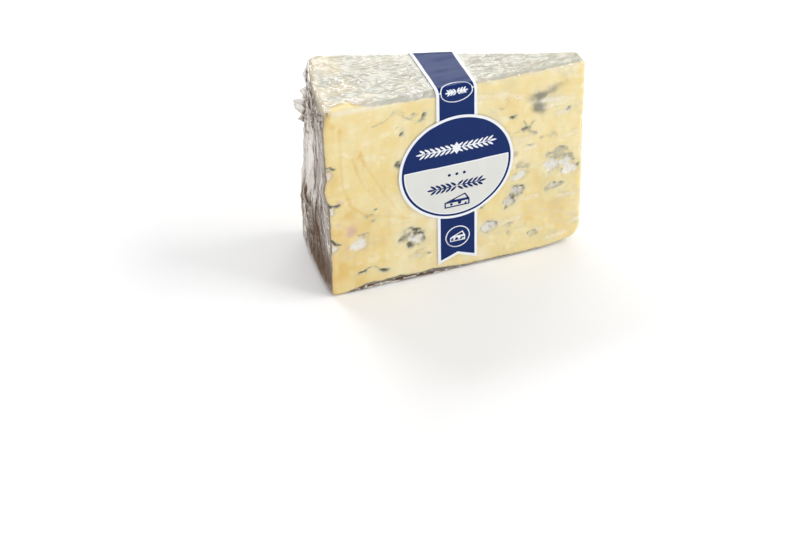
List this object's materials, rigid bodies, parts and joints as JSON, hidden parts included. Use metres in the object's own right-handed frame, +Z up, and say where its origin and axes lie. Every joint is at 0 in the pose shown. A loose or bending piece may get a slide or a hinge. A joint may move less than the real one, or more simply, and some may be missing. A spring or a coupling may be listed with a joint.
{
  "type": "blue cheese wedge",
  "caption": "Wedge of blue cheese sealed in clear film, standing on its lower rind, with a band label over it and a round label on the front cut.",
  "frame": {"origin": "under the middle of the part's box, on the surface that the wedge stands on", "axes": "+X along the front cut from the wheel's rim to the blunt tip, +Y from the labelled cut to the back, +Z up"},
  "size_m": [0.0904, 0.0402, 0.0718],
  "materials": {
    "cheese_in_film": "pale yellow blue-veined paste and grey-white rind under glossy clear stretch film",
    "label_band": "navy print with white edges on satin coated label paper",
    "label_disc": "off-white and navy print on satin coated label paper"
  },
  "bodies": {
    "root": {"wrapped_wedge": "cheese_in_film", "label_band": "label_band", "label_disc": "label_disc"}
  },
  "joints": []
}
